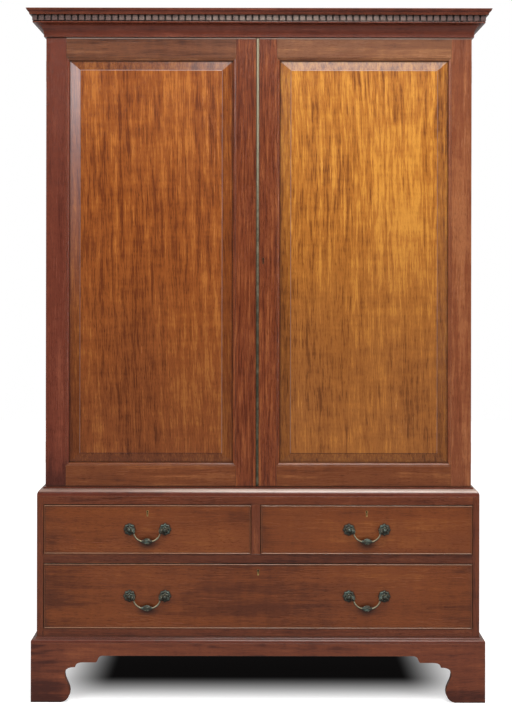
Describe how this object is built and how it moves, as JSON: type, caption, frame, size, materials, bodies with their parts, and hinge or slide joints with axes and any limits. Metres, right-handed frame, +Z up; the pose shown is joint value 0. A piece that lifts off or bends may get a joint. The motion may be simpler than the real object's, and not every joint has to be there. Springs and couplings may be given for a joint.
{
  "type": "linen press",
  "caption": "Tall mahogany linen press: fielded-panel doors over drawers, sliding linen trays inside, a dentil cornice above and a bracket-footed plinth below.",
  "frame": {"origin": "on the floor, at the centre of the press's bounding box in plan", "axes": "+Z up, +X to the right as seen from the front, the doors and drawers face -Y, the back boards face +Y"},
  "size_m": [1.4, 0.615, 2.088],
  "materials": {
    "frame_mahogany": "old french polish, reddish brown, straight grain",
    "moulding_mahogany": "old french polish, dark in the hollows and worn on the edges",
    "panel_mahogany": "french polish on faded golden mahogany with dark streaks",
    "drawer_mahogany": "french polish, red brown",
    "tray_oak": "bare oak, aged",
    "carcase_pine": "bare softwood, aged and dusty",
    "aged_brass": "tarnished brass with a green-grey patina",
    "dark_bronze": "blackened cast brass, rubbed bright on the high spots"
  },
  "bodies": {
    "case": {"cornice_moulding": "moulding_mahogany", "dentil_strip": "moulding_mahogany", "cornice_frame": "carcase_pine", "upper_side_left": "frame_mahogany", "upper_side_right": "frame_mahogany", "upper_top": "carcase_pine", "upper_bottom": "tray_oak", "upper_back": "carcase_pine", "linen_tray_1": "tray_oak", "linen_tray_2": "tray_oak", "linen_tray_3": "tray_oak", "left_lower_hinge_case_leaf": "aged_brass", "left_upper_hinge_case_leaf": "aged_brass", "right_lower_hinge_case_leaf": "aged_brass", "right_upper_hinge_case_leaf": "aged_brass", "waist_moulding": "moulding_mahogany", "lower_top": "frame_mahogany", "lower_side_left": "frame_mahogany", "lower_side_right": "frame_mahogany", "lower_bottom": "frame_mahogany", "lower_back": "carcase_pine", "middle_rail": "frame_mahogany", "centre_upright": "frame_mahogany", "base_moulding": "moulding_mahogany", "plinth_front": "frame_mahogany", "plinth_left": "frame_mahogany", "plinth_right": "frame_mahogany"},
    "left_door": {"left_door_hinge_stile": "frame_mahogany", "left_door_meeting_stile": "frame_mahogany", "left_door_top_rail": "frame_mahogany", "left_door_bottom_rail": "frame_mahogany", "left_door_panel": "panel_mahogany", "left_lower_hinge_door_leaf": "aged_brass", "left_upper_hinge_door_leaf": "aged_brass"},
    "right_door": {"right_door_hinge_stile": "frame_mahogany", "right_door_meeting_stile": "frame_mahogany", "right_door_top_rail": "frame_mahogany", "right_door_bottom_rail": "frame_mahogany", "right_door_panel": "panel_mahogany", "right_lower_hinge_door_leaf": "aged_brass", "right_upper_hinge_door_leaf": "aged_brass", "door_meeting_strip": "aged_brass"},
    "left_drawer": {"left_drawer_front": "drawer_mahogany", "left_drawer_box": "tray_oak", "left_drawer_handle_post_left": "dark_bronze", "left_drawer_handle_post_right": "dark_bronze"},
    "right_drawer": {"right_drawer_front": "drawer_mahogany", "right_drawer_box": "tray_oak", "right_drawer_handle_post_left": "dark_bronze", "right_drawer_handle_post_right": "dark_bronze"},
    "long_drawer": {"long_drawer_front": "drawer_mahogany", "long_drawer_box": "tray_oak", "long_drawer_left_handle_post_left": "dark_bronze", "long_drawer_left_handle_post_right": "dark_bronze", "long_drawer_right_handle_post_left": "dark_bronze", "long_drawer_right_handle_post_right": "dark_bronze"},
    "left_drawer_bail": {"left_drawer_handle_bail": "dark_bronze"},
    "right_drawer_bail": {"right_drawer_handle_bail": "dark_bronze"},
    "long_drawer_left_bail": {"long_drawer_left_handle_bail": "dark_bronze"},
    "long_drawer_right_bail": {"long_drawer_right_handle_bail": "dark_bronze"}
  },
  "joints": [
    {"name": "left_door_hinge", "type": "hinge", "parent": "case", "child": "left_door", "pos_m": [-0.6456, -0.227, 1.3255], "axis": [0, 0, -1], "range_deg": [0, 180]},
    {"name": "right_door_hinge", "type": "hinge", "parent": "case", "child": "right_door", "pos_m": [0.6456, -0.227, 1.3255], "axis": [0, 0, 1], "range_deg": [0, 180]},
    {"name": "left_drawer_slide", "type": "slide", "parent": "case", "child": "left_drawer", "axis": [0, -1, 0], "range_m": [0, 0.4]},
    {"name": "right_drawer_slide", "type": "slide", "parent": "case", "child": "right_drawer", "axis": [0, -1, 0], "range_m": [0, 0.4]},
    {"name": "long_drawer_slide", "type": "slide", "parent": "case", "child": "long_drawer", "axis": [0, -1, 0], "range_m": [0, 0.4]},
    {"name": "left_drawer_bail_hinge", "type": "hinge", "parent": "left_drawer", "child": "left_drawer_bail", "pos_m": [-0.3345, -0.2955, 0.5185], "axis": [-1, 0, 0], "range_deg": [0, 95]},
    {"name": "right_drawer_bail_hinge", "type": "hinge", "parent": "right_drawer", "child": "right_drawer_bail", "pos_m": [0.3275, -0.2955, 0.5185], "axis": [-1, 0, 0], "range_deg": [0, 95]},
    {"name": "long_drawer_left_bail_hinge", "type": "hinge", "parent": "long_drawer", "child": "long_drawer_left_bail", "pos_m": [-0.3345, -0.2955, 0.3175], "axis": [-1, 0, 0], "range_deg": [0, 95]},
    {"name": "long_drawer_right_bail_hinge", "type": "hinge", "parent": "long_drawer", "child": "long_drawer_right_bail", "pos_m": [0.3275, -0.2955, 0.3175], "axis": [-1, 0, 0], "range_deg": [0, 95]}
  ]
}
